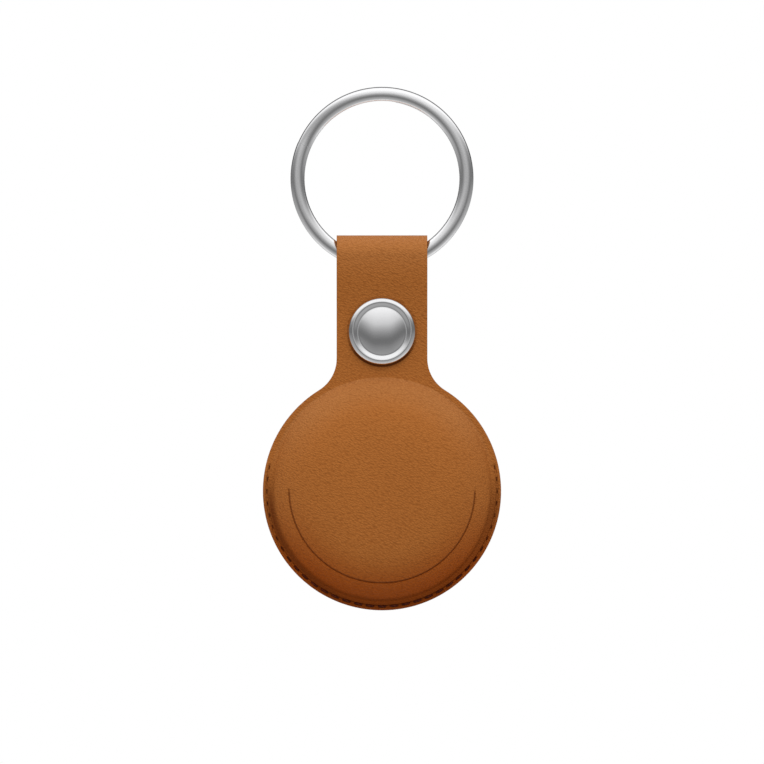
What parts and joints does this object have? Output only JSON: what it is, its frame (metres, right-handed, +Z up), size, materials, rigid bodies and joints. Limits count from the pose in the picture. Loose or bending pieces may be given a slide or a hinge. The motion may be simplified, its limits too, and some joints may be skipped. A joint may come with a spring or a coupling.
{
  "type": "tracker tag holder",
  "caption": "Leather key-ring holder: moulded round pocket around a tracker tag, snap-closed strap looped over a split ring.",
  "frame": {"origin": "centre of the split ring's eye, midway between its two turns", "axes": "+X to the right across the strap, +Y from the pocket's front to its back, +Z up along the hanging strap"},
  "size_m": [0.039, 0.0108, 0.0858],
  "materials": {
    "ring_steel": "polished",
    "leather": "fine pebble grain, saddle tan",
    "lining": "suede microfibre",
    "thread": "waxed, dark brown",
    "snap_steel": "plated",
    "spring_steel": "drawn wire",
    "tag_white": "gloss",
    "door_steel": "polished",
    "seal_rubber": "matte",
    "pad_foam": "foam",
    "cell_can": "satin",
    "contact_metal": "plated",
    "board": "solder mask",
    "chips": "moulded",
    "magnet": "nickel plated",
    "coil_wire": "enamelled copper"
  },
  "bodies": {
    "ring": {"split_ring": "ring_steel"},
    "holder": {"front_panel": "leather", "front_lining": "lining", "back_panel": "leather", "back_lining": "lining", "seam_thread": "thread", "snap_cap": "snap_steel", "snap_cap_post": "snap_steel", "snap_socket": "snap_steel", "snap_spring": "spring_steel"},
    "flap": {"rear_flap": "leather", "snap_stud": "snap_steel", "snap_rear_post": "snap_steel"},
    "tag": {"tag_cover": "tag_white", "tag_base": "tag_white", "circuit_board": "board", "board_chips": "chips", "antenna_band": "contact_metal", "speaker_magnet": "magnet", "voice_coil": "coil_wire", "coin_cell": "cell_can", "positive_contact": "contact_metal", "negative_contact": "contact_metal"},
    "door": {"battery_door": "door_steel", "door_seal": "seal_rubber", "door_pad": "pad_foam"}
  },
  "joints": [
    {"name": "holder_swing", "type": "hinge", "parent": "ring", "child": "holder", "pos_m": [0, 0, -0.01265], "axis": [1, 0, 0], "range_deg": [-150, 150]},
    {"name": "flap_open", "type": "hinge", "parent": "holder", "child": "flap", "pos_m": [0, 0.00313, -0.01323], "axis": [1, 0, 0], "range_deg": [0, 90], "deforming": ["snap_spring"]},
    {"name": "tag_turn", "type": "hinge", "parent": "holder", "child": "tag", "pos_m": [0, 0, -0.05125], "axis": [0, 1, 0], "continuous": true},
    {"name": "door_twist", "type": "hinge", "parent": "tag", "child": "door", "pos_m": [0, 0, -0.05125], "axis": [0, 1, 0], "range_deg": [0, 38]}
  ]
}
